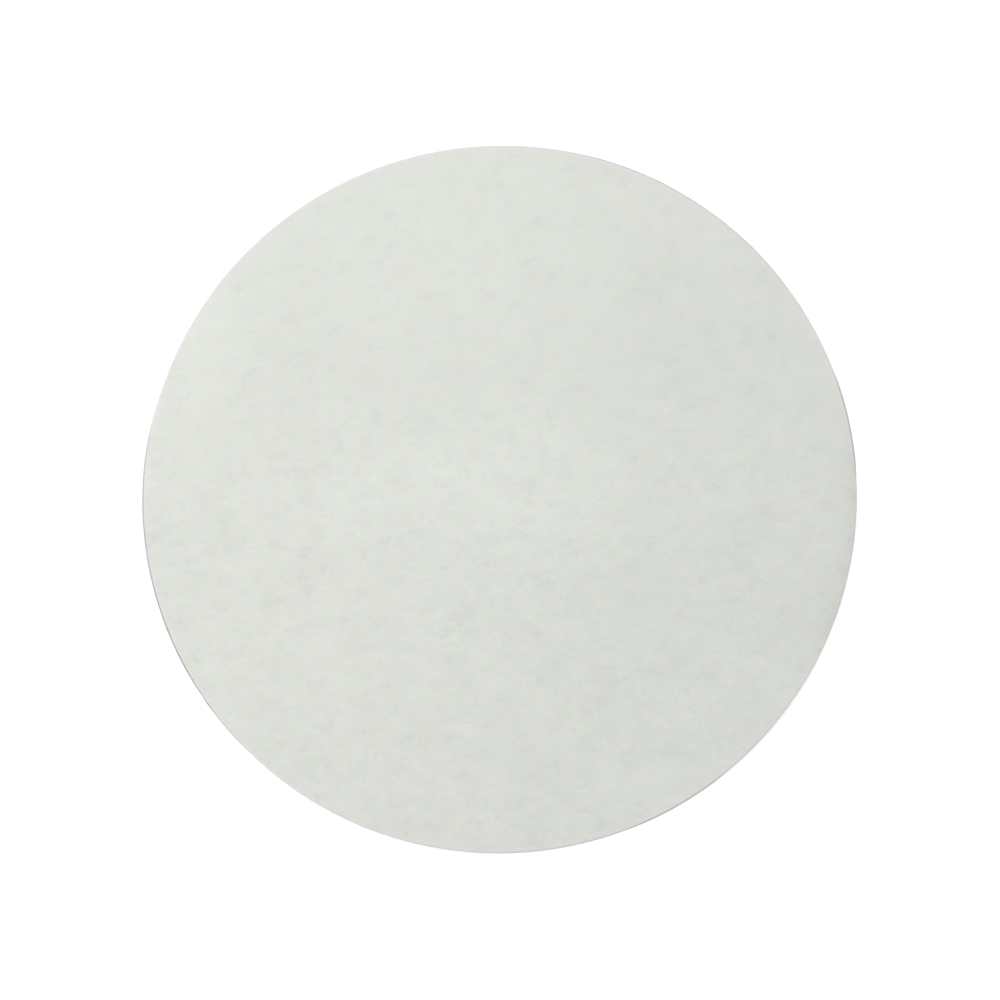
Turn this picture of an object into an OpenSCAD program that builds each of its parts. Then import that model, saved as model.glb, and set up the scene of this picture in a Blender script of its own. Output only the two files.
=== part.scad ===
// Filter paper disc: a single die-cut sheet of laboratory filter paper.
//
// The sheet lies flat on the plane z = 0, with the origin at the centre of its
// underside and +Z through its upper face. It is one solid of revolution. Its
// section is a thin rectangle whose upper corner is rolled over, because the
// cutting die drags the soft upper face down before it shears the sheet.

/* [Sheet] */
// Diameter of the disc, the size that it is sold by
disc_d = 90; // [40:1:240]
// Thickness of the sheet, clear of the cut edge
sheet_t = 0.18; // [0.12:0.01:1]

/* [Cut edge] */
// Width of the rim band that the die drags down
roll_w = 0.2; // [0.1:0.05:1]
// Depth that the die drags the upper face down at the rim
roll_h = 0.04; // [0.02:0.01:0.1]

/* [Hidden] */

disc_r = disc_d / 2;
// Height of the plain sheared wall that is left below the roll
wall_h = sheet_t - roll_h;
// Straight steps in the roll's quarter ellipse
roll_steps = 8;
// Paper is off-white with a faint grey-green cast
paper_colour = [0.86, 0.87, 0.845];

// The rolled corner from the top of the sheared wall up and in to the flat face,
// a quarter ellipse that leaves the wall upright and meets the face level.
function rolled_corner() = [
    for (step = [0 : roll_steps])
        let (turn = 90 * step / roll_steps)
        [disc_r - roll_w * (1 - cos(turn)), wall_h + roll_h * sin(turn)]
];

// Half of the sheet's section, from the axis out to the cut edge.
module sheet_section() {
    polygon(concat([[0, 0], [disc_r, 0]], rolled_corner(), [[0, sheet_t]]));
}

module filter_paper_disc() {
    color(paper_colour)
        rotate_extrude($fn = 360)
            sheet_section();
}

filter_paper_disc();
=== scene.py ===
# %% [markdown]
# # A filter paper disc
#
# The object is one round sheet of laboratory filter paper, lying on a white table and
# seen almost from straight above. It is a plain thing, so its look is all in small
# matters: a faint grey-green white, the cloudy way its fibres have settled, a sheet that
# doesn't lie quite flat, and a rim that the cutting die has rolled over, with a hairline
# of painted shadow along some stretches of it.
#
# The packed model is loaded first. It is the fixed frame that everything is built in.

# %% Load the packed model
import math

import bpy
from mathutils import Matrix, Vector


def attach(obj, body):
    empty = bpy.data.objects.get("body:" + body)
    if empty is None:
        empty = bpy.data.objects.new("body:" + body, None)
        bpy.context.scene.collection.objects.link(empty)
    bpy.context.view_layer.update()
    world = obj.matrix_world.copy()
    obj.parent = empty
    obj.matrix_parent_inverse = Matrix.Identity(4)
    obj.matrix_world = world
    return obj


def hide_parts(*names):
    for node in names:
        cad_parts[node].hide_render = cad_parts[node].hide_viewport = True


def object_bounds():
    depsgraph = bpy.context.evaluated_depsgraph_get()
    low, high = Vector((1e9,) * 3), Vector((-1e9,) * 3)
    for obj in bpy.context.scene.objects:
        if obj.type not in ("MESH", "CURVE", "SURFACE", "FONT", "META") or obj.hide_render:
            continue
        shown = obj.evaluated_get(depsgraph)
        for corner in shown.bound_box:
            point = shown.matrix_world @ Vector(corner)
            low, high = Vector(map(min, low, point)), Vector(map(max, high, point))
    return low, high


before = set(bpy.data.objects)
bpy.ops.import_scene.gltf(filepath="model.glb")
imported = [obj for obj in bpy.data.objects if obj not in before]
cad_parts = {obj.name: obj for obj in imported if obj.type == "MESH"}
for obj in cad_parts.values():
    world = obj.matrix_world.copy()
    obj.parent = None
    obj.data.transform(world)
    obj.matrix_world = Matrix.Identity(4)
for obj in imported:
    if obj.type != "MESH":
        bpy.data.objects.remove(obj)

# %% [markdown]
# ## Measures
#
# The sheet's radius and thickness come from the packed model's own box. The sizes that
# the box can't tell are named here, in millimetres turned into metres.

# %% Measures of the sheet
# One millimetre in Blender's metres.
MM = 0.001
SHEET_NODE = "filter_paper_disc"

cad_low, cad_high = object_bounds()
DISC_R = cad_high.x
SHEET_T = cad_high.z

# The die drags the upper face down by this depth over this width of the rim.
ROLL_W = 0.2 * MM
ROLL_H = 0.04 * MM

print(f"disc {2 * DISC_R / MM:.1f} mm across, {SHEET_T / MM:.2f} mm thick")

# %% [markdown]
# ## A way to write nodes down
#
# Geometry Nodes and shader nodes are both graphs. Building one in Python is easiest to
# read when a sum looks like a sum, so `Wire` wraps one output of a node and lets Python's
# own operators add the Math node. A colour goes through Vector Math as a vector does,
# because a Math node would turn it grey.

# %% A wire that can be added and multiplied
VECTOR_KINDS = {"VECTOR", "RGBA"}


def is_vector(side):
    """Whether one side of a sum, a wire or a plain value, is a vector or a colour."""
    if isinstance(side, Wire):
        return side.socket.type in VECTOR_KINDS
    return isinstance(side, tuple)


class Wire:
    """One output of a node, ready for sums and for other nodes' sockets."""

    def __init__(self, board, socket):
        self.board = board
        self.socket = socket

    def math(self, operation, *others):
        """A Math node on this wire, or a Vector Math node if any side is a vector."""
        sides = [self, *others]
        kind = "ShaderNodeVectorMath" if any(map(is_vector, sides)) else "ShaderNodeMath"
        return self.board.add(kind, {"operation": operation}, dict(enumerate(sides)))

    def __add__(self, other):
        return self.math("ADD", other)

    def __sub__(self, other):
        return self.math("SUBTRACT", other)

    def __mul__(self, other):
        return self.math("MULTIPLY", other)

    def __truediv__(self, other):
        return self.math("DIVIDE", other)

    def __rsub__(self, other):
        return self * -1 + other

    __radd__ = __add__
    __rmul__ = __mul__


print("a wire is a vector when its socket is", " or ".join(sorted(VECTOR_KINDS)))

# %% [markdown]
# `Board` wraps the whole graph. Its `add` makes any other node. It sets the node's
# settings first, because they decide which sockets the node shows. A few sums that this
# sheet needs again and again have a method of their own.

# %% A board that nodes are put on
# A noise texture gives numbers from 0 to 1, and this is their middle.
NOISE_MIDDLE = 0.5


class Board:
    """A node graph that is being wired up."""

    def __init__(self, tree):
        self.tree = tree

    def add(self, kind, settings=None, sockets=None, give=None):
        """Adds a node: its settings, then its sockets' values or wires. Returns its first
        showing output as a wire, or a list of the outputs that give names."""
        node = self.tree.nodes.new(kind)
        for name, value in (settings or {}).items():
            setattr(node, name, value)
        for name, value in (sockets or {}).items():
            self.plug(value, self.find(node.inputs, name))
        if give is None:
            return Wire(self, next(socket for socket in node.outputs if socket.enabled))
        return [Wire(self, self.find(node.outputs, name)) for name in give]

    def find(self, sockets, name):
        """The socket at a place, or the showing socket with a name."""
        if isinstance(name, int):
            return sockets[name]
        return next(socket for socket in sockets if socket.name == name and socket.enabled)

    def plug(self, value, socket):
        """Links a wire to a socket, or several to one, or sets the socket's own value."""
        for wire in value if isinstance(value, list) else [value]:
            if isinstance(wire, Wire):
                self.tree.links.new(wire.socket, socket)
            else:
                socket.default_value = wire

    def vector(self, x, y, z):
        return self.add("ShaderNodeCombineXYZ", {}, {0: x, 1: y, 2: z})

    def parts_of(self, vector):
        """A vector's x, y and z."""
        return self.add("ShaderNodeSeparateXYZ", {}, {0: vector}, ["X", "Y", "Z"])

    def length_of(self, vector):
        settings = {"operation": "LENGTH"}
        (length,) = self.add("ShaderNodeVectorMath", settings, {0: vector}, ["Value"])
        return length

    def ramp(self, value, start, end, low=0.0, high=1.0):
        """A smooth step from low to high while value goes from start to end."""
        sockets = {"Value": value, "From Min": start, "From Max": end, "To Min": low, "To Max": high}
        return self.add("ShaderNodeMapRange", {"interpolation_type": "SMOOTHSTEP"}, sockets)

    def noise(self, place, across, detail=0.0, roughness=0.5):
        """Soft noise from -0.5 to 0.5, whose largest clouds are about so far across."""
        sockets = {"Vector": place, "Scale": 1 / across, "Detail": detail, "Roughness": roughness}
        return self.add("ShaderNodeTexNoise", {}, sockets) - NOISE_MIDDLE

    def drift(self, place, across, reach):
        """The place, moved about by up to half the reach, so that straight forms wander."""
        sockets = {"Vector": place, "Scale": 1 / across, "Detail": 1.0}
        (colour,) = self.add("ShaderNodeTexNoise", {}, sockets, ["Color"])
        return place + (colour - (NOISE_MIDDLE,) * 3) * self.vector(reach, reach, 0.0)


print("a board can", ", ".join(name for name in vars(Board) if not name.startswith("_")))

# %% [markdown]
# A Geometry Nodes graph gets its sizes through named inputs, so that it can be used again
# with others. `run_nodes` gives a new object such a graph, sets the inputs by their
# sockets' identifiers, and keeps what comes out as a plain mesh with no modifier left.

# %% Geometry graphs with named inputs
SOCKET_KINDS = {
    float: "NodeSocketFloat",
    int: "NodeSocketInt",
    bpy.types.Object: "NodeSocketObject",
    bpy.types.Material: "NodeSocketMaterial",
}


def geometry_board(name, inputs):
    """An empty geometry graph and a wire for each of its named inputs."""
    board = Board(bpy.data.node_groups.new(name, "GeometryNodeTree"))
    sockets = board.tree.interface
    sockets.new_socket(name="Mesh", in_out="OUTPUT", socket_type="NodeSocketGeometry")
    for label, value in inputs.items():
        kind = next(kind for python, kind in SOCKET_KINDS.items() if isinstance(value, python))
        sockets.new_socket(name=label, in_out="INPUT", socket_type=kind)
    wires = board.add("NodeGroupInput", give=list(inputs))
    return board, dict(zip(inputs, wires))


def run_nodes(name, board, mesh, inputs):
    """Ends the graph at mesh, runs it on a new object and keeps the result."""
    board.add("NodeGroupOutput", sockets={0: mesh}, give=[])
    piece = bpy.data.objects.new(name, bpy.data.meshes.new(name + "_blank"))
    bpy.context.scene.collection.objects.link(piece)
    modifier = piece.modifiers.new(name, "NODES")
    modifier.node_group = board.tree
    for item in board.tree.interface.items_tree:
        if item.in_out == "INPUT":
            modifier[item.identifier] = inputs[item.name]
    evaluated = piece.evaluated_get(bpy.context.evaluated_depsgraph_get())
    finished = bpy.data.meshes.new_from_object(evaluated)
    piece.modifiers.clear()
    piece.data = finished
    finished.name = name
    print(f"{name}: {len(finished.vertices)} points, {len(finished.polygons)} faces")
    return piece


print("a graph's inputs can be", ", ".join(python.__name__ for python in SOCKET_KINDS))

# %% [markdown]
# ## The paper's colour
#
# Filter paper is matt and nearly white, with no filler or glaze to hide how it formed.
# Its fibres settled from water, and never quite evenly, which papermakers call the
# sheet's formation. One noise texture with many octaves could stand for all of it, but it
# looks like smoke: as many light spots as dark ones, and nothing drawn out. So there are
# four patterns, clouds, felt, clots and single fibres, and their sum picks a colour
# between these two.

# %% Colours of the paper
PAPER_LIGHT = (0.7883, 0.8114, 0.7562, 1.0)
PAPER_DARK = (0.6294, 0.6492, 0.6028, 1.0)

print("green of the paper from", PAPER_DARK[1], "to", PAPER_LIGHT[1])

# %% [markdown]
# **Clouds, felt and clots.** The clouds are wide and soft, and the felt is the fine
# unevenness within them. Clots are fibres that had stuck together before they settled, a
# little darker than the rest. Each is a noise in the sheet's own coordinates. Noise is as
# long as it is wide, so each is stretched: the clouds and the felt nearly along the way
# that the papermaker's wire ran, and the clots at a slant to it. All of them drift about
# a little first, so that nothing runs dead straight. The clots keep only the top of their
# noise, which leaves even paper between them.

# %% Clouds, felt and clots
GRAIN_TURN = math.radians(3)
CLOT_TURN = math.radians(18)
# Clots show only where their noise is above this.
CLOT_LEVEL = 0.02

# Detail is how many finer noises are added to the first, and roughness is how strong they
# are. Drift is how wide the bends of the forms are, and how far a bend moves them.
CLOUDS = {
    "across": 7.0 * MM,
    "detail": 2.0,
    "roughness": 0.85,
    "turn": GRAIN_TURN,
    "stretch": 1.25,
    "drift": (2.5 * MM, 1.2 * MM),
}
FELT = {
    "across": 1.6 * MM,
    "detail": 3.0,
    "roughness": 0.90,
    "turn": GRAIN_TURN,
    "stretch": 1.4,
    "drift": (1.2 * MM, 0.8 * MM),
    "layer": 0.05,
}
CLOTS = {
    "across": 1.7 * MM,
    "detail": 3.0,
    "roughness": 0.75,
    "turn": CLOT_TURN,
    "stretch": 1.6,
    "drift": (1.2 * MM, 0.8 * MM),
}


def along(board, place, turn, stretch, layer=0.0):
    """The place in a frame in which forms come out turned and stretched. Every layer of
    the noise has forms of its own."""
    settings = {"vector_type": "TEXTURE"}
    sockets = {"Vector": place, "Rotation": (0.0, 0.0, turn), "Scale": (stretch, 1.0, 1.0)}
    return board.add("ShaderNodeMapping", settings, sockets) + (0.0, 0.0, layer)


def grained_noise(board, place, across, detail, roughness, turn, stretch, drift, layer=0.0):
    """Noise that wanders, and is drawn out in one direction."""
    drawn_out = along(board, board.drift(place, *drift), turn, stretch, layer)
    return board.noise(drawn_out, across, detail, roughness)


def clots(board, place):
    """The tops of the clots' noise, and 0 between them."""
    return (grained_noise(board, place, **CLOTS) - CLOT_LEVEL).math("MAXIMUM", 0.0)


for label, sizes in {"clouds": CLOUDS, "felt": FELT, "clots": CLOTS}.items():
    print(f"{label}: {sizes['across'] / MM:.1f} mm across, stretched {sizes['stretch']} times")

# %% [markdown]
# **Single fibres.** A wave texture draws lines, but they all run side by side. The line
# where a noise crosses zero is thin and curved, as a fibre is, but it never ends. A second
# noise cuts it into lengths. Three such layers, each turned its own way, cross each other
# like real fibres.

# %% Fibres drawn as broken contour lines
FIBRE_LAYERS = [
    # turn in degrees, stretch, width of the curves, where in the noise the layer lies
    (-4, 3.0, 1.5 * MM, 0.1),
    (13, 2.5, 1.3 * MM, 0.2),
    (-24, 2.3, 1.4 * MM, 0.3),
]
FIBRE_DRIFT = (1.6 * MM, 0.7 * MM)
# The line fades out at this much noise on either side of zero.
FIBRE_LINE = 0.022
# The second noise: its width, and how much of it a fibre's end takes to fade in.
FIBRE_LENGTH = 1.1 * MM
FIBRE_END = 0.14


def fibre_lines(board, place):
    """Thin curved lines, strongest along their middles, and 0 between them."""
    wandering = board.drift(place, *FIBRE_DRIFT)
    total = 0
    for turn, stretch, width, layer in FIBRE_LAYERS:
        turned = along(board, wandering, math.radians(turn), stretch, layer)
        line = board.ramp(board.noise(turned, width).math("ABSOLUTE"), 0.0, FIBRE_LINE, 1.0, 0.0)
        length = board.ramp(board.noise(turned, FIBRE_LENGTH), 0.0, FIBRE_END)
        total = total + line * length
    return total


print(f"fibre lines in {len(FIBRE_LAYERS)} layers")

# %% [markdown]
# **The sum of the four.** Clouds and clots are as strong all over the sheet. On one side
# it formed more evenly on the small scale, so the felt and the single fibres are weaker
# there. `unevenness` says by how much, and later on it thins out the real fibres as well.

# %% One number for how light the face is
# How much each pattern counts.
CLOUD_SHARE = 0.42
FELT_SHARE = 0.70
CLOT_SHARE = 1.10
LINE_SHARE = 0.17
# How light the paper is where no pattern changes it.
PLAIN_LEVEL = 0.60
# Where along y the sheet begins to be more even, where it is so altogether, and what is
# left of the fine patterns there.
EVEN_FROM = 3 * MM
EVEN_TO = 14 * MM
EVEN_SHARE = 0.42


def unevenness(board, place):
    """How strong the fine patterns are at each place."""
    return board.ramp(board.parts_of(place)[1], EVEN_FROM, EVEN_TO, 1.0, EVEN_SHARE)


def face_lightness(board, place):
    """From 0 for the darkest paper to 1 for the lightest."""
    fine = grained_noise(board, place, **FELT) * FELT_SHARE - fibre_lines(board, place) * LINE_SHARE
    coarse = grained_noise(board, place, **CLOUDS) * CLOUD_SHARE - clots(board, place) * CLOT_SHARE
    pattern = coarse + fine * unevenness(board, place) + PLAIN_LEVEL
    return pattern.math("MAXIMUM", 0.0).math("MINIMUM", 1.0)


print(f"felt and fibres {EVEN_SHARE:.0%} as strong beyond y = {EVEN_TO / MM:.0f} mm")

# %% [markdown]
# ** The edge.** At the cut the fibres stand open, and over the last millimetre the paper
# loses its green cast. A grey hairline is painted along the rim as well, stronger in some
# stretches than in others: a painted shadow, for the thin shadow that the sheet's edge
# casts on the table. A noise could make such stretches, but the grey has to lie where the
# burr does, so the sheet's own mesh carries it as an attribute.

# %% Colours at the edge
# The grey of the painted shadow along the rim, for the sheet's thin shadow on the table.
RIM_SHADOW_GREY = (0.284, 0.278, 0.287, 1.0)
# Red, green and blue at the cut, as shares of what they are on the face.
EDGE_TINT = (1.018, 1.0, 1.036)
# The tint is whole up to the first distance from the rim, and gone at the second.
EDGE_BAND = (0.1 * MM, 0.9 * MM)


def mix(board, share, first, second):
    """The first colour where the share is 0, and the second where it is 1."""
    return board.add("ShaderNodeMix", {"data_type": "RGBA"}, {"Factor": share, "A": first, "B": second})


def with_edge(board, place, colour):
    """The paper's colour, tinted towards the rim, and then darkened there by a painted shadow."""
    x, y, _ = board.parts_of(place)
    from_rim = DISC_R - (x * x + y * y).math("SQRT")
    opened = board.ramp(from_rim, *EDGE_BAND, 1.0, 0.0)
    tinted = mix(board, opened, colour, colour * EDGE_TINT)
    (grey,) = board.add("ShaderNodeAttribute", {"attribute_name": "bruise"}, {}, ["Fac"])
    return mix(board, grey, tinted, RIM_SHADOW_GREY)


print(f"edge tint over the last {EDGE_BAND[1] / MM:.1f} mm")

# %% [markdown]
# **The material.** A coated paper would need a clear coat, and a tissue would have to let
# some light through. Filter paper is plainly matt, so it is the Principled shader with a
# high roughness and little specular. Only the colour, the roughness and the bump change
# over the surface. The bump is the tooth that a finger feels, too fine to be in the mesh.

# %% Paper material
PAPER_SPECULAR = 0.25
PAPER_ROUGH = 0.92
# The lightest paper is this much smoother than the darkest.
LIGHT_SMOOTHER = 0.05
# The tooth's hills: how wide they are, and how high the bump makes them look.
TOOTH_W = 0.5 * MM
TOOTH_BUMP = 0.004 * MM


def new_material(name):
    """A material with an empty graph, and the board to wire it on."""
    material = bpy.data.materials.new(name)
    material.use_nodes = True
    material.node_tree.nodes.clear()
    return material, Board(material.node_tree)


def end_in_paper(material, board, sockets):
    """Ends a material's graph in the matt shader that all of the paper shares."""
    sockets = {"Specular IOR Level": PAPER_SPECULAR, **sockets}
    shader = board.add("ShaderNodeBsdfPrincipled", {}, sockets)
    board.add("ShaderNodeOutputMaterial", sockets={"Surface": shader}, give=[])
    print("material:", material.name, "with", len(material.node_tree.nodes), "nodes")


def paper_material():
    material, board = new_material("filter paper")
    (place,) = board.add("ShaderNodeTexCoord", give=["Object"])
    lightness = face_lightness(board, place)
    colour = with_edge(board, place, mix(board, lightness, PAPER_DARK, PAPER_LIGHT))
    tooth = board.noise(place, TOOTH_W, detail=2.0, roughness=0.7)
    bump = board.add("ShaderNodeBump", {}, {"Strength": 1.0, "Distance": TOOTH_BUMP, "Height": tooth})
    roughness = PAPER_ROUGH - lightness * LIGHT_SMOOTHER
    end_in_paper(material, board, {"Base Color": colour, "Roughness": roughness, "Normal": bump})
    return material


paper = paper_material()

# %% [markdown]
# ## The sheet
#
# The sheet is a disc with a rolled upper corner and a plain sheared wall below it. It
# could be a cylinder, but a cylinder's flat ends have no points inside them, so nothing
# could move there. A square grid has points everywhere. Each square ring of the grid is
# drawn into a circle, and a ring's number says where it goes in the sheet's section: most
# rings cover the flat face, a few go round the rolled corner, and the last goes down the
# wall. A second grid makes the underside, and both are welded at the lower rim.

# %% Square grid drawn into round rings
EIGHTH_TURN = math.pi / 4


def square_rings(board, rings):
    """A flat grid of so many square rings, with each point's ring number and outward
    direction once the rings are drawn into circles."""
    across = rings * 2 + 1
    sizes = {"Size X": 2.0, "Size Y": 2.0, "Vertices X": across, "Vertices Y": across}
    grid = board.add("GeometryNodeMeshGrid", {}, sizes)
    x, y, _ = board.parts_of(board.add("GeometryNodeInputPosition"))
    share = x.math("ABSOLUTE").math("MAXIMUM", y.math("ABSOLUTE"))
    # Equal steps of tangent are unequal steps of angle, and this puts that right.
    even_x = (x / share * EIGHTH_TURN).math("TANGENT")
    even_y = (y / share * EIGHTH_TURN).math("TANGENT")
    return grid, share * rings, board.vector(even_x, even_y, 0.0).math("NORMALIZE")


def placed(board, mesh, place):
    """The mesh with each of its points at a new place."""
    return board.add("GeometryNodeSetPosition", {}, {"Geometry": mesh, "Position": place})


def moved(board, mesh, offset):
    """The mesh with each of its points moved by an offset."""
    return board.add("GeometryNodeSetPosition", {}, {"Geometry": mesh, "Offset": offset})


print(f"each side of a square ring becomes an arc of {math.degrees(2 * EIGHTH_TURN):.0f} degrees")

# %% [markdown]
# The die doesn't cut cleanly all the way round. In some stretches it drags the fibres out
# into a burr, a thin lip at the foot of the wall. The same stretches get a painted shadow:
# a grey hairline on the rim for the thin shadow that the sheet's edge casts on the table.
# Each stretch is a direction, counted from +X towards +Y, and a half width. Angles from an
# Arctangent node jump where a turn ends. The dot product of a point's outward direction
# and a stretch's own doesn't: it is the cosine of the angle between them, and tells how
# near they are.

# %% Stretches of the rim with a burr and a painted shadow
BURR_AND_SHADOW_STRETCHES = [
    # direction and half width in degrees, strength of the painted shadow, reach of the burr
    (11, 10, 0.35, 0.10 * MM),
    (-60, 10, 0.08, 0.05 * MM),
    (-57, 20, 0.05, 0.03 * MM),
    (-169, 31, 0.89, 0.12 * MM),
    (58, 24, 0.30, 0.05 * MM),
    (-140, 6, 0.37, 0.045 * MM),
    (69, 12, 0.17, 0.015 * MM),
]


def stretch_of_rim(board, outward, direction, half_width):
    """1 over the middle half of a stretch of the rim, falling to 0 at its ends."""
    turn, reach = math.radians(direction), math.radians(half_width)
    sides = {0: outward, 1: (math.cos(turn), math.sin(turn), 0.0)}
    (nearness,) = board.add("ShaderNodeVectorMath", {"operation": "DOT_PRODUCT"}, sides, ["Value"])
    return board.ramp(nearness, math.cos(reach), math.cos(reach / 2))


def burr(board, outward):
    """How far the burr reaches past the wall."""
    return sum(
        stretch_of_rim(board, outward, direction, half_width) * reach
        for direction, half_width, _, reach in BURR_AND_SHADOW_STRETCHES
    )


longest_burr = max(reach for *_, reach in BURR_AND_SHADOW_STRETCHES)
print(f"{len(BURR_AND_SHADOW_STRETCHES)} shadowed stretches, with a burr of up to {longest_burr / MM:.2f} mm")

# %% [markdown]
# The painted shadow goes with the burr. It can't be told from the burr's reach alone,
# because a short burr may be dark, so each stretch has a strength of grey as well.

# %% How dark the painted shadow on the rim is
# The painted shadow begins this far in from the rim, and is whole at the second distance.
RIM_SHADOW_FROM = 0.12 * MM
RIM_SHADOW_WHOLE = 0.04 * MM


def radius_and_outward(board):
    """Each point's distance from the axis, and its direction away from it."""
    x, y, _ = board.parts_of(board.add("GeometryNodeInputPosition"))
    flat_place = board.vector(x, y, 0.0)
    return board.length_of(flat_place), flat_place.math("NORMALIZE")


def bruise(board):
    """How dark the painted shadow is at each point of the rim, from 0 to 1."""
    radius, outward = radius_and_outward(board)
    near_rim = board.ramp(DISC_R - radius, RIM_SHADOW_WHOLE, RIM_SHADOW_FROM, 1.0, 0.0)
    return near_rim * sum(
        stretch_of_rim(board, outward, direction, half_width) * grey
        for direction, half_width, grey, _ in BURR_AND_SHADOW_STRETCHES
    )


print(f"grey over the last {RIM_SHADOW_FROM / MM:.2f} mm of the face")

# %% [markdown]
# Now the section can be laid out. On the upper side the radius grows evenly over the flat
# face, follows a quarter ellipse round the corner, and stays as it is down the wall, apart
# from the burr. The underside is plain, and turned over so that its faces point down.

# %% Both sides of the sheet
QUARTER_TURN = math.pi / 2
# The last ring is told from the one before it by a number halfway between the two.
HALF_A_RING = 0.5


def upper_side(board, size, rings):
    """The upper face, the rolled corner and the wall."""
    grid, ring, outward = square_rings(board, rings)
    flat_share = (ring / size["Flat rings"]).math("MINIMUM", 1.0)
    roll_share = (ring - size["Flat rings"]) / size["Roll rings"]
    turn = roll_share.math("MAXIMUM", 0.0).math("MINIMUM", 1.0) * QUARTER_TURN
    radius = flat_share * (size["Radius"] - size["Roll width"])
    radius = radius + turn.math("SINE") * size["Roll width"]
    height = size["Thickness"] - (1 - turn.math("COSINE")) * size["Roll depth"]
    at_foot = ring.math("GREATER_THAN", rings - HALF_A_RING)
    radius = radius + at_foot * burr(board, outward)
    return placed(board, grid, outward * radius + board.vector(0.0, 0.0, height * (1 - at_foot)))


def underside(board, size, rings):
    """The flat underside, out to the tip of the burr."""
    grid, ring, outward = square_rings(board, rings)
    reach = size["Radius"] + burr(board, outward)
    flat = placed(board, grid, outward * (ring / rings * reach))
    return board.add("GeometryNodeFlipFaces", {}, {"Mesh": flat})


print(f"corner rolled over {ROLL_W / MM:.1f} mm wide and {ROLL_H / MM:.2f} mm deep")

# %% [markdown]
# A loose sheet never lies quite flat. It takes up moisture and swells a few tenths of a
# millimetre off the table here and there. A cloth simulation could make such swells, but
# not at chosen places, so each is a round-topped hill, or a hollow, added to the height.
# On one side the die has also left the last millimetre of the sheet turned down.

# %% Swells of the resting sheet
SWELLS = [
    # centre x and y, half widths along x and y, and height, all in millimetres
    (10, 4, 20, 26, 0.69),
    (6, 8, 23, 13, -0.55),
    (-10, -3, 17, 7, 0.13),
    (34, -50, 13, 40, 0.24),
    (-48, -2, 10, 12, 0.24),
    (-32, 21, 7, 18, 0.12),
]
# The stretch of rim that is turned down: its direction and half width in degrees.
TURNED_DOWN = (-9, 23)
# How far down the rim goes there, and how far in from it a third of that is left.
TURNED_DEPTH = 0.11 * MM
TURNED_W = 0.9 * MM


def swell(board, x, y, centre_x, centre_y, wide_x, wide_y, height):
    """The height of one round-topped swell at each point."""
    off_x = (x - centre_x * MM) / (wide_x * MM)
    off_y = (y - centre_y * MM) / (wide_y * MM)
    fall = (off_x * off_x + off_y * off_y) * -1
    return fall.math("EXPONENT") * (height * MM)


def turned_rim(board):
    """How far each point of the turned-down rim has gone down."""
    radius, outward = radius_and_outward(board)
    near_rim = ((radius - DISC_R) / TURNED_W).math("EXPONENT")
    return near_rim * stretch_of_rim(board, outward, *TURNED_DOWN) * TURNED_DEPTH


highest_swell = max(height for *_, height in SWELLS)
print(f"{len(SWELLS)} swells, the highest {highest_swell} mm")

# %% [markdown]
# Two more things act on the whole sheet. The tooth is a fine hilliness, which could be
# bump alone, but then the outline and low light would show a sheet of plastic. And once
# the swells have moved it, the sheet hangs in the air or cuts into the table, so it is
# let down, or lifted, until its lowest point touches.

# %% Tooth, and the let-down onto the table
SHEET_TOOTH_W = 2.4 * MM
# Height counts this many times in the tooth's noise, so that the two faces, which lie
# close together, have different hills.
FACES_APART = 40


def with_tooth(board, mesh, height):
    """The mesh with fine hills, which stand out from its faces."""
    place = board.add("GeometryNodeInputPosition")
    tooth = board.noise(place * (1, 1, FACES_APART), SHEET_TOOTH_W, detail=2.0, roughness=0.6)
    normal = board.add("GeometryNodeInputNormal")
    return moved(board, mesh, normal * (tooth * height))


def swollen(board, mesh, share):
    """The mesh lifted by its swells and lowered along its turned-down rim."""
    x, y, _ = board.parts_of(board.add("GeometryNodeInputPosition"))
    lift = sum(swell(board, x, y, *numbers) for numbers in SWELLS) - turned_rim(board)
    return moved(board, mesh, board.vector(0.0, 0.0, lift * share))


def let_down(board, mesh):
    """The mesh with its lowest point on the table."""
    z = board.parts_of(board.add("GeometryNodeInputPosition"))[2]
    sockets = {"Geometry": mesh, "Attribute": z}
    (lowest,) = board.add("GeometryNodeAttributeStatistic", {}, sockets, ["Min"])
    return moved(board, mesh, board.vector(0.0, 0.0, lowest * -1))


print(f"tooth of hills {SHEET_TOOTH_W / MM:.1f} mm across")

# %% [markdown]
# The graph puts these steps in order. Its faces are shaded smooth, except at the sheared
# lower corner, which is the only fold sharp enough to stay crisp.

# %% The paper sheet
SHEET_SIZES = {
    "Radius": DISC_R,
    "Thickness": SHEET_T,
    "Roll width": ROLL_W,
    "Roll depth": ROLL_H,
    "Flat rings": 94,
    "Roll rings": 6,
    # A factor on the height of all the swells
    "Swell height": 1.0,
    "Tooth height": 0.003 * MM,
    "Paper": paper,
}
# Points of the two grids that are closer than this become one.
WELD = 0.001 * MM
CRISP_FOLD = math.radians(50)


def smooth_but_crisp(board, mesh):
    """Smooth shading on every edge that isn't folded sharply."""
    fold = board.add("GeometryNodeInputMeshEdgeAngle")
    soft = 1 - fold.math("GREATER_THAN", CRISP_FOLD)
    sockets = {"Geometry": mesh, "Shade Smooth": soft}
    return board.add("GeometryNodeSetShadeSmooth", {"domain": "EDGE"}, sockets)


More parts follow.
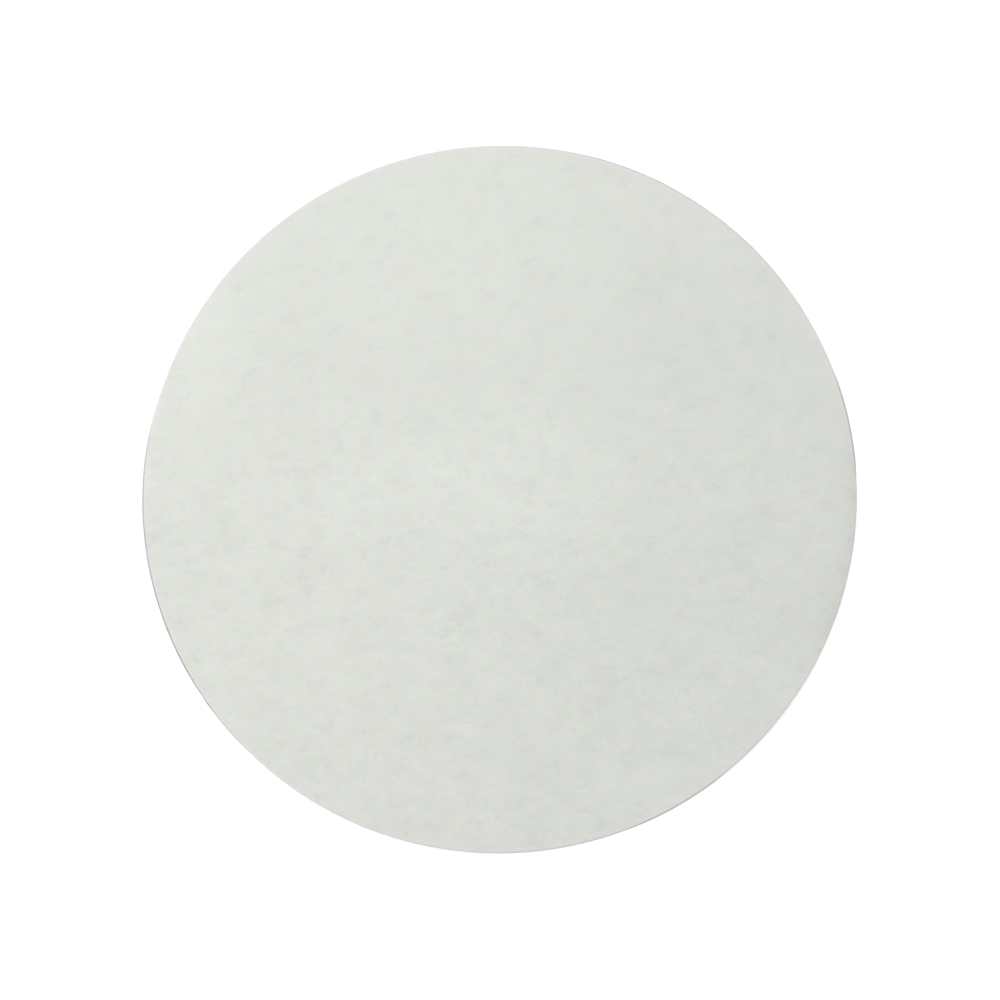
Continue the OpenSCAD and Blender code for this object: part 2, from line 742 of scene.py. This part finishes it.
def paper_sheet():
    board, size = geometry_board("sheet from square grids", SHEET_SIZES)
    rings = size["Flat rings"] + size["Roll rings"] + 1
    sides = [upper_side(board, size, rings), underside(board, size, rings)]
    mesh = board.add("GeometryNodeJoinGeometry", {}, {"Geometry": sides})
    mesh = board.add("GeometryNodeMergeByDistance", {}, {"Geometry": mesh, "Distance": WELD})
    # The rim's painted shadow is stored on the mesh for the paper material.
    grey = {"Geometry": mesh, "Name": "bruise", "Value": bruise(board)}
    mesh = board.add("GeometryNodeStoreNamedAttribute", {}, grey)
    mesh = with_tooth(board, mesh, size["Tooth height"])
    mesh = swollen(board, mesh, size["Swell height"])
    mesh = smooth_but_crisp(board, let_down(board, mesh))
    mesh = board.add("GeometryNodeRealizeInstances", {}, {"Geometry": mesh})
    mesh = board.add("GeometryNodeSetMaterial", {}, {"Geometry": mesh, "Material": size["Paper"]})
    return run_nodes("filter_paper_sheet", board, mesh, SHEET_SIZES)


sheet = paper_sheet()
heights = [vertex.co.z / MM for vertex in sheet.data.vertices]
print(f"sheet from z = {min(heights):.3f} to {max(heights):.3f} mm")

# %% [markdown]
# ## Fibres on the face
#
# Seen close, the face of filter paper is a felt of flat, curved fibres, 1 to 3 mm long
# and a few hundredths of a millimetre wide, whose ends dive back into the sheet. The
# colour pattern shows them from afar. Close to, and against the light, they have to stand
# on the face, so about two thousand of them are real. They are made of the same stuff, so
# their material is the sheet's in brief. Each fibre has its own tone, which its mesh
# carries as an attribute, and is a little blotched along its length.

# %% Fibre material
FIBRE_LIGHT = (0.765, 0.787, 0.735, 1.0)
FIBRE_DARK = (0.650, 0.671, 0.624, 1.0)
FIBRE_ROUGH = 0.85
# The blotches' size, and how much they change the tone and the roughness.
BLOTCH_W = 0.3 * MM
BLOTCH_SHARE = 0.5
BLOTCH_ROUGH = 0.2


def fibre_material():
    material, board = new_material("paper fibre")
    (place,) = board.add("ShaderNodeTexCoord", give=["Object"])
    (tone,) = board.add("ShaderNodeAttribute", {"attribute_name": "tone"}, {}, ["Fac"])
    blotch = board.noise(place, BLOTCH_W, detail=2.0)
    lightness = (tone + blotch * BLOTCH_SHARE).math("MAXIMUM", 0.0)
    colour = mix(board, lightness, FIBRE_DARK, FIBRE_LIGHT)
    roughness = FIBRE_ROUGH - blotch * BLOTCH_ROUGH
    end_in_paper(material, board, {"Base Color": colour, "Roughness": roughness})
    return material


fibre_paper = fibre_material()

# %% [markdown]
# So many fibres can't be modelled one by one, and a hair system makes no closed mesh.
# They start as points that are scattered over the upper face: more of them where a noise
# says that the sheet is dense, and fewer on the side that formed more evenly.

# %% Points scattered over the face
# A face belongs to the upper side if the upward part of its normal is more than this.
FACING_UP = 0.5
# Dense patches are this wide. Where their noise is at the first level, the number of
# fibres is multiplied by the first factor, and at the second level by the second.
DENSE_W = 3.0 * MM
DENSE_NOISE = (-0.2, 0.2)
DENSE_FACTOR = (0.4, 1.6)


def scattered_points(board, size, mesh):
    """One point on the upper face for each fibre."""
    place = board.add("GeometryNodeInputPosition")
    upward = board.parts_of(board.add("GeometryNodeInputNormal"))[2]
    patches = board.noise(place, DENSE_W, detail=2.0)
    crowding = board.ramp(patches, *DENSE_NOISE, *DENSE_FACTOR) * unevenness(board, place)
    sockets = {
        "Mesh": mesh,
        "Selection": upward.math("GREATER_THAN", FACING_UP),
        "Density": size["Fibres per square metre"] * crowding,
        "Seed": size["Seed"],
    }
    return board.add("GeometryNodeDistributePointsOnFaces", {}, sockets)


print(f"up to {DENSE_FACTOR[1]} times the fibres in patches {DENSE_W / MM:.0f} mm across")

# %% [markdown]
# Each point gets a short straight line of its own length, to be bent later. The lines are
# turned at random, but equal chances for every turn would look like scattered straw. On
# the papermaker's wire the flow draws the fibres along, so most stay near the grain.

# %% Straight lines on the points
# A line of length 1 about its own middle. Each fibre's scale turns it into its length.
UNIT_LINE = {"Start": (-0.5, 0.0, 0.0), "End": (0.5, 0.0, 0.0)}
FIBRE_SWING = math.radians(75)
TURN_SEED = 1
LENGTH_SEED = 2


def random_value(board, low, high, seed, number=None):
    """A random number for each point, or for each thing that number counts."""
    sockets = {"Min": low, "Max": high, "Seed": seed}
    if number is not None:
        sockets["ID"] = number
    return board.add("FunctionNodeRandomValue", {"data_type": "FLOAT"}, sockets)


def scattered_lines(board, size, mesh):
    """A line of its own length and turn on each scattered point."""
    line = board.add("GeometryNodeCurvePrimitiveLine", {}, UNIT_LINE)
    line = board.add("GeometryNodeResampleCurve", {}, {"Curve": line, "Count": size["Points along"]})
    # The square of the swing keeps most fibres near the grain.
    swing = random_value(board, -1.0, 1.0, TURN_SEED)
    turn = swing * swing.math("ABSOLUTE") * FIBRE_SWING + GRAIN_TURN
    length = random_value(board, size["Shortest"], size["Longest"], LENGTH_SEED)
    sockets = {
        "Points": scattered_points(board, size, mesh),
        "Instance": line,
        "Rotation": board.vector(0.0, 0.0, turn),
        "Scale": board.vector(length, length, length),
    }
    lines = board.add("GeometryNodeInstanceOnPoints", {}, sockets)
    return board.add("GeometryNodeRealizeInstances", {}, {"Geometry": lines})


print(f"fibres turned by up to {math.degrees(FIBRE_SWING):.0f} degrees from the grain")

# %% [markdown]
# The lines are bent by noise. If all of them met the same noise, neighbours would bend
# alike, as hair does, so each line reads the noise at a depth of its own. The bent lines
# are then cut off at the rim, and what is left of a line has to be long enough to be a
# fibre.

# %% Bent and trimmed lines
# Each line reads the noise this much deeper than the line before it.
LAYER_GAP = 5 * MM
# The lines wait at this height until they are laid on the sheet.
DROP_FROM = 10 * MM
BEND_W = 1.3 * MM
FEWEST_POINTS = 4


def bent_lines(board, size, lines, number):
    """The lines, each bent in its own way and high above the sheet."""
    x, y, _ = board.parts_of(board.add("GeometryNodeInputPosition"))
    own_layer = board.vector(x, y, number * LAYER_GAP)
    x, y, _ = board.parts_of(board.drift(own_layer, BEND_W, size["Wander"]))
    return placed(board, lines, board.vector(x, y, DROP_FROM))


def trimmed_lines(board, size, lines):
    """The lines without what lies past the rim, and without what is too short."""
    x, y, _ = board.parts_of(board.add("GeometryNodeInputPosition"))
    outside = (x * x + y * y).math("SQRT").math("GREATER_THAN", size["Trim radius"])
    lines = board.add("GeometryNodeDeleteGeometry", {}, {"Geometry": lines, "Selection": outside})
    (count,) = board.add("GeometryNodeSplineLength", give=["Point Count"])
    sockets = {"Geometry": lines, "Selection": count.math("LESS_THAN", FEWEST_POINTS)}
    return board.add("GeometryNodeDeleteGeometry", {"domain": "CURVE"}, sockets)


print(f"bends {BEND_W / MM:.1f} mm wide, and no fibre of fewer than {FEWEST_POINTS} points")

# %% [markdown]
# Each line has to follow the sheet's swells. A Shrinkwrap would pull it towards the
# nearest face, which may be the wall. A ray cast straight down from each of its points
# finds the face below it instead. Towards its ends a fibre sinks below that face.

# %% Lines laid on the sheet
# From the middle of a fibre at 0 to its end at 1, it begins to sink here.
END_START = 0.7
# An end sinks by this many times the fibre's height.
END_DEPTH = 1.5


def laid_lines(board, size, lines, mesh):
    """The lines, each dropped straight down onto the sheet, with sunken ends."""
    ray = {
        "Target Geometry": mesh,
        "Source Position": board.add("GeometryNodeInputPosition"),
        "Ray Direction": (0.0, 0.0, -1.0),
        "Ray Length": 2 * DROP_FROM,
    }
    (hit,) = board.add("GeometryNodeRaycast", {}, ray, ["Hit Position"])
    (along_fibre,) = board.add("GeometryNodeSplineParameter", give=["Factor"])
    from_middle = (along_fibre * 2 - 1).math("ABSOLUTE")
    sink = board.ramp(from_middle, END_START, 1.0) * size["Height"] * END_DEPTH
    return placed(board, lines, hit - board.vector(0.0, 0.0, sink))


print(f"the last {1 - END_START:.0%} of each half of a fibre goes under")

# %% [markdown]
# A dried fibre has collapsed to a ribbon. A round section would stand too high and catch
# the light like wire, so the section is a low trapezium, narrower on top. Swept along a
# laid line, with closed ends, it has 22 faces. The sweep turns the section over, so the
# side that the node calls its top lies on the sheet.

# %% Fibres as one mesh
FIBRE_SIZES = {
    "Sheet": sheet,
    "Fibres per square metre": 3.9e5,
    "Seed": 11,
    "Points along": 6,
    "Shortest": 0.8 * MM,
    "Longest": 2.8 * MM,
    "Wander": 0.9 * MM,
    "Width": 0.036 * MM,
    "Height": 0.012 * MM,
    "Trim radius": DISC_R - ROLL_W,
    "Paper": fibre_paper,
}
# The narrow side of the section, as a share of the wide one.
NARROW_SHARE = 0.5
TONE_SEED = 3


def ribbon_section(board, size):
    """A fibre's section, a closed curve."""
    sockets = {
        "Height": size["Height"],
        "Bottom Width": size["Width"] * NARROW_SHARE,
        "Top Width": size["Width"],
        "Offset": 0.0,
    }
    return board.add("GeometryNodeCurvePrimitiveQuadrilateral", {"mode": "TRAPEZOID"}, sockets)


def surface_fibres():
    board, size = geometry_board("fibres on a sheet", FIBRE_SIZES)
    (ground,) = board.add("GeometryNodeObjectInfo", {}, {"Object": size["Sheet"]}, ["Geometry"])
    lines = scattered_lines(board, size, ground)
    (number,) = board.add("GeometryNodeCurveOfPoint", give=["Curve Index"])
    tone = random_value(board, 0.0, 1.0, TONE_SEED, number)
    toned = {"Geometry": lines, "Name": "tone", "Value": tone}
    lines = board.add("GeometryNodeStoreNamedAttribute", {}, toned)
    lines = trimmed_lines(board, size, bent_lines(board, size, lines, number))
    lines = laid_lines(board, size, lines, ground)
    lines = board.add("GeometryNodeSetCurveNormal", {"mode": "Z_UP"}, {"Curve": lines})
    sweep = {"Curve": lines, "Profile Curve": ribbon_section(board, size), "Fill Caps": True}
    mesh = board.add("GeometryNodeCurveToMesh", {}, sweep)
    mesh = board.add("GeometryNodeSetShadeSmooth", {}, {"Geometry": mesh, "Shade Smooth": False})
    mesh = board.add("GeometryNodeRealizeInstances", {}, {"Geometry": mesh})
    mesh = board.add("GeometryNodeSetMaterial", {}, {"Geometry": mesh, "Material": size["Paper"]})
    return run_nodes("surface_fibres", board, mesh, FIBRE_SIZES)


fibres = surface_fibres()

# %% [markdown]
# ## The table
#
# The sheet lies on a plain white table. A plane that only shines would be white enough,
# but it would take no shadow. So the table is matt, and a little light is added to it for
# the camera alone, which makes it pure white while the sheet is lit at a plain level. Far
# from the sheet the lamps fall short, so more is added there, and the table ends in the
# white of the sky.

# %% Table
WHITE = (1.0, 1.0, 1.0, 1.0)
TABLE_COLOUR = (0.9, 0.9, 0.9, 1.0)
# The table's width, in metres like the two distances below.
TABLE_W = 1.2
# The light that is added near the sheet and far from it, and where it goes from one to
# the other.
NEAR_LIFT = 0.3
FAR_LIFT = 1.0
NEAR_EDGE = 0.12
FAR_EDGE = 0.30


def table_material():
    material, board = new_material("white table")
    (seen,) = board.add("ShaderNodeLightPath", give=["Is Camera Ray"])
    (place,) = board.add("ShaderNodeTexCoord", give=["Object"])
    lift = board.ramp(board.length_of(place), NEAR_EDGE, FAR_EDGE, NEAR_LIFT, FAR_LIFT)
    matt = board.add("ShaderNodeBsdfDiffuse", {}, {"Color": TABLE_COLOUR})
    white = board.add("ShaderNodeEmission", {}, {"Color": WHITE, "Strength": seen * lift})
    both = board.add("ShaderNodeAddShader", {}, {0: matt, 1: white})
    board.add("ShaderNodeOutputMaterial", sockets={"Surface": both}, give=[])
    return material


def white_table():
    half = TABLE_W / 2
    corners = [(-half, -half, 0), (half, -half, 0), (half, half, 0), (-half, half, 0)]
    mesh = bpy.data.meshes.new("table")
    mesh.from_pydata(corners, [], [(0, 1, 2, 3)])
    mesh.materials.append(table_material())
    table = bpy.data.objects.new("table", mesh)
    bpy.context.scene.collection.objects.link(table)
    print(f"table {TABLE_W} m across")


white_table()

# %% [markdown]
# ## The light
#
# Each light gives a share of what reaches the sheet, and the shares add up to 1, a level
# at which a colour renders as it is written. A picture of a room could light the sheet,
# but with colours of its own, so a plain soft sky gives the base. What the camera and
# mirrors see of it is pure white, which is more than it shines with.

# %% Sky
SKY_SHARE = 0.30


def soft_sky():
    world = bpy.data.worlds.new("soft sky")
    world.use_nodes = True
    world.node_tree.nodes.clear()
    board = Board(world.node_tree)
    kinds = ["Is Camera Ray", "Is Glossy Ray", "Is Transmission Ray"]
    camera, glossy, through = board.add("ShaderNodeLightPath", give=kinds)
    shown = camera.math("MAXIMUM", glossy).math("MAXIMUM", through)
    strength = shown * (1 - SKY_SHARE) + SKY_SHARE
    sky = board.add("ShaderNodeBackground", {}, {"Color": WHITE, "Strength": strength})
    board.add("ShaderNodeOutputWorld", sockets={"Surface": sky}, give=[])
    bpy.context.scene.world = world
    print(f"{world.name}: {SKY_SHARE:.1%} of the light")


soft_sky()

# %% [markdown]
# The key lamp and the fill lamp stand on either side. Those two alone would make the
# sheet look like a flat cut-out. The raking lamp shines almost along it, which is the only
# way to show swells that are a few tenths of a millimetre high. It casts no shadow,
# because at that angle the thin sheet would throw a long grey band.

# %% Lamps
LAMPS = [
    # name, direction and rise in degrees, distance and width in metres, share, shadow
    ("key lamp", 175, 50, 0.54, 0.25, 0.28, True),
    ("fill lamp", 25, 48, 0.855, 0.25, 0.245, True),
    ("raking lamp", 150, 9, 0.5, 0.12, 0.175, False),
]


def round_lamp(name, direction, rise, far, width, share, shadow):
    """A round lamp that faces the sheet."""
    direction, rise = math.radians(direction), math.radians(rise)
    level = math.cos(rise)
    towards = Vector((math.cos(direction) * level, math.sin(direction) * level, math.sin(rise)))
    light = bpy.data.lights.new(name, "AREA")
    light.shape = "DISK"
    light.size = width
    # A flat lamp of so many watts gives watts / (pi * far)^2 of white, head on.
    light.energy = share * (math.pi * far) ** 2 / math.sin(rise)
    light.use_shadow = shadow
    lamp = bpy.data.objects.new(name, light)
    lamp.location = towards * far
    lamp.rotation_euler = towards.to_track_quat("Z", "Y").to_euler()
    bpy.context.scene.collection.objects.link(lamp)
    print(f"{name}: {share:.1%} of the light, {light.energy:.2f} W")
    return share


lamp_share = sum(round_lamp(*numbers) for numbers in LAMPS)
print(f"all lights: {lamp_share + SKY_SHARE:.1%}")

# %% [markdown]
# ## The camera
#
# The camera looks down on the sheet from a little to one side. Its distance and its long
# lens make the disc fill most of the frame with hardly any perspective. A Track To
# constraint could aim it, but it has to be told which way is up, and is unsure of that
# when it looks almost straight down. So the camera's three axes are worked out here.

# %% Camera
# How far the camera leans away from the sheet's axis, and in which direction.
CAMERA_TILT = math.radians(7.9)
CAMERA_SIDE = math.radians(-73.5)
CAMERA_FAR = 297.6 * MM
CAMERA_AIM = Vector((0.25, -0.97, 0.1)) * MM
# The lens and the sensor are in millimetres, as Blender wants them.
LENS = 85
SENSOR_W = 36
CLIP_START = 10 * MM


def camera_above():
    level = math.sin(CAMERA_TILT)
    back = Vector((level * math.cos(CAMERA_SIDE), level * math.sin(CAMERA_SIDE), math.cos(CAMERA_TILT)))
    right = Vector((0, 1, 0)).cross(back).normalized()
    up = back.cross(right)
    camera = bpy.data.objects.new("camera", bpy.data.cameras.new("camera"))
    camera.data.lens = LENS
    camera.data.sensor_width = SENSOR_W
    camera.data.clip_start = CLIP_START
    camera.location = CAMERA_AIM + back * CAMERA_FAR
    camera.rotation_mode = "QUATERNION"
    camera.rotation_quaternion = Matrix((right, up, back)).transposed().to_quaternion()
    bpy.context.scene.collection.objects.link(camera)
    bpy.context.scene.camera = camera
    print(f"camera {CAMERA_FAR / MM:.1f} mm away, {math.degrees(CAMERA_TILT):.1f} degrees off the axis")


camera_above()
bpy.context.scene.view_settings.view_transform = "Standard"

# %% [markdown]
# ## Attaching the pieces
#
# The sheet and its fibres ride on the model's only body and stand for its solid, which
# is hidden.

# %% Finish
for piece in (sheet, fibres):
    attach(piece, "root")
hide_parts(SHEET_NODE)
